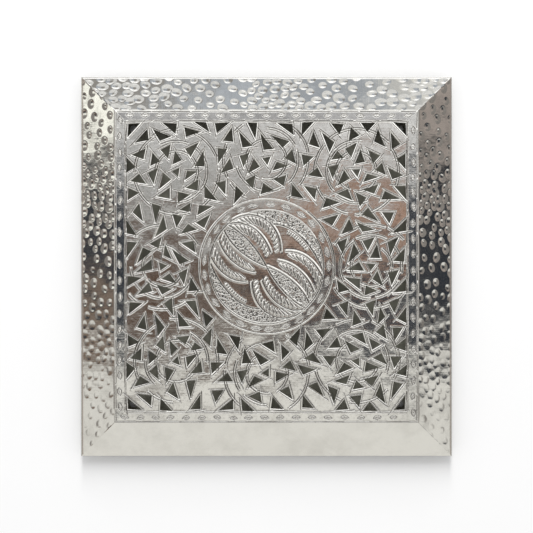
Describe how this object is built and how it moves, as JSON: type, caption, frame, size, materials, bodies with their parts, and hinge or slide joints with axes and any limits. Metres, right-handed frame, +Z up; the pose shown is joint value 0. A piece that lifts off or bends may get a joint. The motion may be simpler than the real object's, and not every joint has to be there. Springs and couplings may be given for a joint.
{
  "type": "square pierced salver",
  "caption": "Square hammered silver salver: a pierced and chased panel raised above four mitred sloping borders, on button feet.",
  "frame": {"origin": "below the middle of the panel, on the plane that the foot pads rest on", "axes": "+Z up out of the pierced panel, -Y towards the front border, +X towards the right border"},
  "size_m": [0.3, 0.307, 0.0307],
  "materials": {
    "silver": "silver-plated, hammered, pierced and chased, polished",
    "dull_plate": "tarnished plate, unpolished",
    "foot_metal": "silver-plated, turned, satin",
    "steel": "zinc-plated",
    "pad_felt": "pressed felt"
  },
  "bodies": {
    "root": {"pierced_panel": "silver", "border_front": "silver", "border_rear": "silver", "border_left": "silver", "border_right": "silver", "base_plate": "dull_plate", "base_rivets": "dull_plate", "foot_front_left": "foot_metal", "foot_front_right": "foot_metal", "foot_rear_left": "foot_metal", "foot_rear_right": "foot_metal", "foot_pads": "pad_felt", "foot_screws": "steel", "foot_nuts": "steel"}
  },
  "joints": []
}
